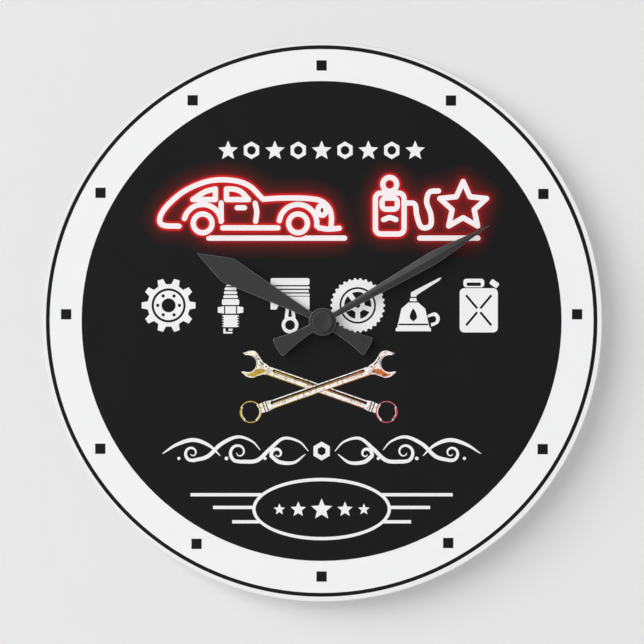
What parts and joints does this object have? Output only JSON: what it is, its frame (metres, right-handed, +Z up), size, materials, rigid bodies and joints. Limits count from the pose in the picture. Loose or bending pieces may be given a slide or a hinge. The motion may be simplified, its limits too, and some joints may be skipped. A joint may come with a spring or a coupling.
{
  "type": "wall clock",
  "caption": "Round wall clock with a printed acrylic dial, square hour marks, spade and sword hands, a quartz movement and a keyhole hanger.",
  "frame": {"origin": "point on the wall plane behind the hands' axis, at the back face of the movement", "axes": "+Y into the wall along the hands' axis, the dial faces -Y, +Z up, +X to the viewer's right"},
  "size_m": [0.273, 0.0296, 0.273],
  "materials": {
    "white_acrylic": "gloss",
    "black_ink": "satin",
    "white_ink": "satin",
    "neon_ink": "satin",
    "gold_ink": "satin",
    "hand_black": "satin",
    "case_plastic": "matte",
    "brass": "satin",
    "steel": "satin",
    "gasket_rubber": "matte",
    "wheel_plastic": "satin",
    "magnet": "matte",
    "bobbin_plastic": "matte",
    "copper_wire": "satin",
    "board": "satin",
    "chip_resin": "satin",
    "contact_metal": "satin",
    "cell_metal": "satin",
    "label_film": "satin"
  },
  "bodies": {
    "dial": {"dial_panel": "white_acrylic", "black_print": "black_ink", "white_print": "white_ink", "neon_print": "neon_ink", "spanner_print": "gold_ink", "case_front": "case_plastic", "case_back": "case_plastic", "threaded_bush": "brass", "bush_nut": "brass", "nut_washer": "steel", "rubber_gasket": "gasket_rubber", "hanger_bracket": "steel", "hanger_tab": "steel", "stator": "steel", "coil_core": "steel", "coil_bobbin": "bobbin_plastic", "coil_winding": "copper_wire", "circuit_board": "board", "quartz_can": "steel", "drive_chip": "chip_resin", "contact_plus": "contact_metal", "contact_minus": "contact_metal", "wheel_pins": "steel"},
    "minute": {"minute_hand": "hand_black", "hub_cap": "hand_black", "minute_arbor": "steel"},
    "hour": {"hour_hand": "hand_black", "hour_wheel": "wheel_plastic"},
    "motion": {"motion_wheel": "wheel_plastic"},
    "knob": {"setting_knob": "case_plastic"},
    "rotor": {"rotor_pinion": "wheel_plastic", "rotor_magnet": "magnet"},
    "step": {"step_wheel": "wheel_plastic"},
    "second": {"second_wheel": "wheel_plastic"},
    "third": {"third_wheel": "wheel_plastic"},
    "centre": {"centre_wheel": "wheel_plastic"},
    "battery": {"battery_cell": "cell_metal", "battery_label": "label_film"}
  },
  "joints": [
    {"name": "minute_turn", "type": "hinge", "parent": "dial", "child": "minute", "pos_m": [0, 0, 0], "axis": [0, 1, 0], "continuous": true},
    {"name": "hour_turn", "type": "hinge", "parent": "dial", "child": "hour", "pos_m": [0, 0, 0], "axis": [0, 1, 0], "continuous": true},
    {"name": "motion_turn", "type": "hinge", "parent": "dial", "child": "motion", "pos_m": [-0.00707, 0, 0.00707], "axis": [0, 1, 0], "continuous": true},
    {"name": "knob_turn", "type": "hinge", "parent": "dial", "child": "knob", "pos_m": [-0.01681, 0, 0.0127], "axis": [0, 1, 0], "continuous": true},
    {"name": "rotor_turn", "type": "hinge", "parent": "dial", "child": "rotor", "pos_m": [0.0163, 0, 0.0021], "axis": [0, 1, 0], "continuous": true},
    {"name": "step_turn", "type": "hinge", "parent": "dial", "child": "step", "pos_m": [0.00921, 0, 0.00335], "axis": [0, 1, 0], "continuous": true},
    {"name": "second_turn", "type": "hinge", "parent": "dial", "child": "second", "pos_m": [0, 0, 0], "axis": [0, 1, 0], "continuous": true},
    {"name": "third_turn", "type": "hinge", "parent": "dial", "child": "third", "pos_m": [0.0054, 0, 0.00935], "axis": [0, 1, 0], "continuous": true},
    {"name": "centre_turn", "type": "hinge", "parent": "dial", "child": "centre", "pos_m": [0, 0, 0], "axis": [0, 1, 0], "continuous": true},
    {"name": "battery_out", "type": "slide", "parent": "dial", "child": "battery", "axis": [0, 1, 0], "range_m": [0, 0.03]}
  ],
  "couplings": [
    {"joint": "hour_turn", "follows": "minute_turn", "ratio": 0.083333},
    {"joint": "motion_turn", "follows": "minute_turn", "ratio": -0.33333},
    {"joint": "knob_turn", "follows": "minute_turn", "ratio": 0.66667},
    {"joint": "step_turn", "follows": "rotor_turn", "ratio": -0.2},
    {"joint": "second_turn", "follows": "rotor_turn", "ratio": 0.033333},
    {"joint": "third_turn", "follows": "rotor_turn", "ratio": -0.0044444},
    {"joint": "centre_turn", "follows": "rotor_turn", "ratio": 0.00055556}
  ]
}
